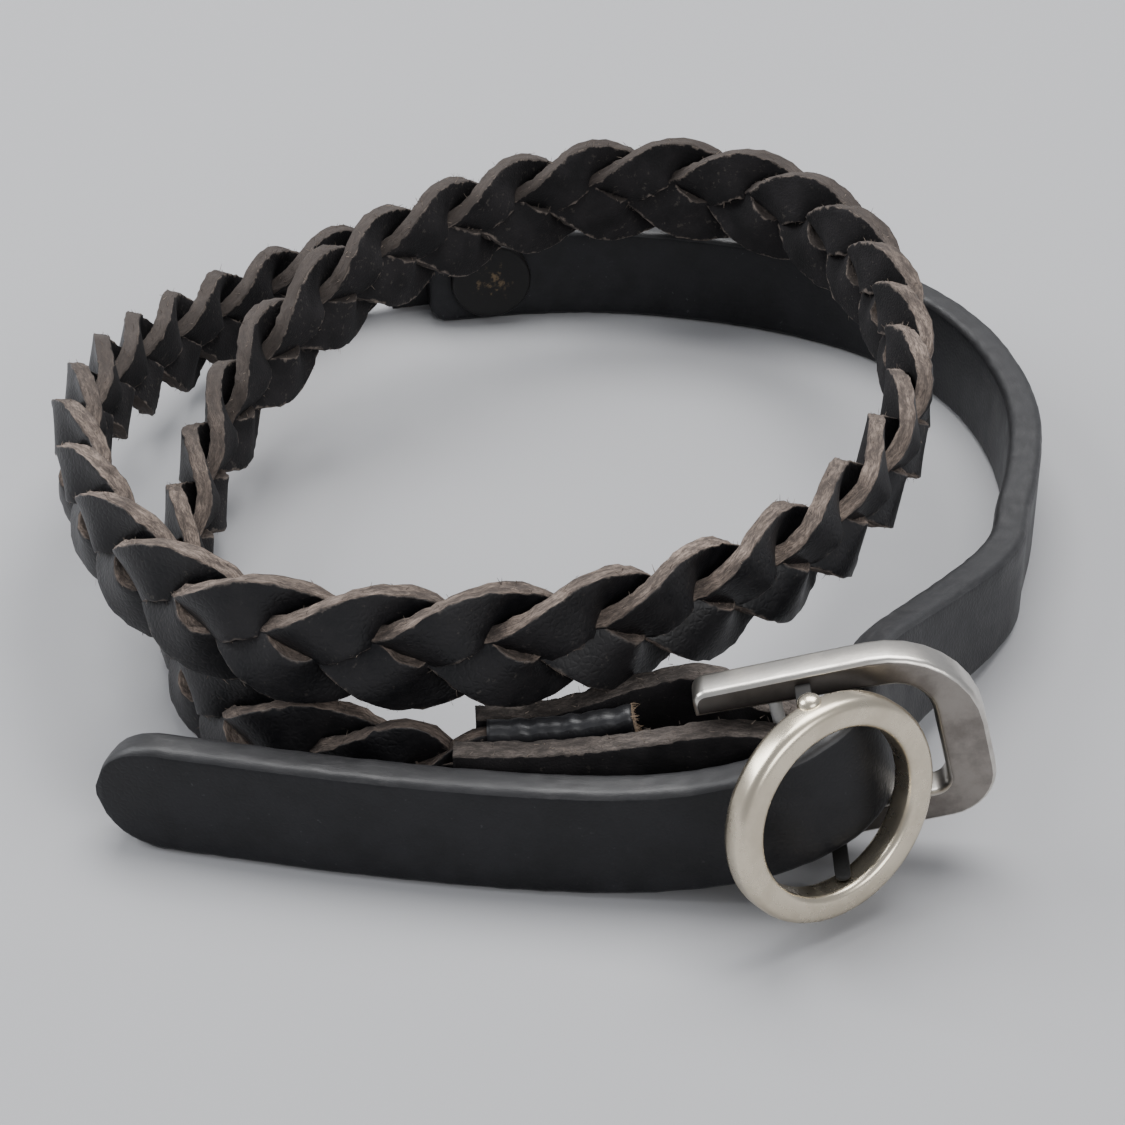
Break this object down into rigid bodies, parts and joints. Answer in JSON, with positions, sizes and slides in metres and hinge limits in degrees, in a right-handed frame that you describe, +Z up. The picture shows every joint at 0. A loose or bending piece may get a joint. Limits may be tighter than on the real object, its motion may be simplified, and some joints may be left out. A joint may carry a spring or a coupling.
{
  "type": "wrap bracelet",
  "caption": "Double-wrap bracelet of plain leather strap and flat plait, closed by a horseshoe buckle with a tilting friction ring, standing on its edge.",
  "frame": {"origin": "on the floor under the middle of the bracelet as it stands on its edge", "axes": "+Z up, across the strap's width; +Y away from the buckle, along the longer way across the loops; +X towards the side where the plain strap runs"},
  "size_m": [0.0734, 0.0896, 0.0173],
  "materials": {
    "strap_leather": "smooth grain, satin, worn edges",
    "plait_leather": "grain face with raw brown-grey edges",
    "tab_leather": "painted edge, raw cut end",
    "rivet_metal": "black lacquer worn to brass at the middle",
    "aged_silver": "antique silver, darker face, bright edges",
    "bright_silver": "warm satin silver, lightly scratched",
    "bright_steel": "drawn wire"
  },
  "bodies": {
    "band": {"plain_strap": "strap_leather", "braid_strand_a": "plait_leather", "braid_strand_b": "plait_leather", "braid_strand_c": "plait_leather", "buckle_loop": "strap_leather", "braid_start_tab": "tab_leather", "braid_end_tab": "tab_leather", "joint_rivet": "rivet_metal", "joint_rivet_cap": "rivet_metal", "loop_rivet": "rivet_metal", "loop_rivet_cap": "rivet_metal"},
    "frame": {"buckle_frame": "aged_silver", "hinge_pin": "bright_steel"},
    "ring": {"ring": "bright_silver", "ring_pivot_upper": "bright_silver", "ring_pivot_lower": "bright_silver"}
  },
  "joints": [
    {"name": "frame_swing", "type": "hinge", "parent": "band", "child": "frame", "pos_m": [0.01382, -0.0332, 0.00799], "axis": [-0.2419, 0, 0.9703], "range_deg": [-8, 3]},
    {"name": "ring_tilt", "type": "hinge", "parent": "frame", "child": "ring", "pos_m": [0.01576, -0.03991, 0.00848], "axis": [-0.2419, 0, 0.9703], "range_deg": [-28, 4]}
  ]
}
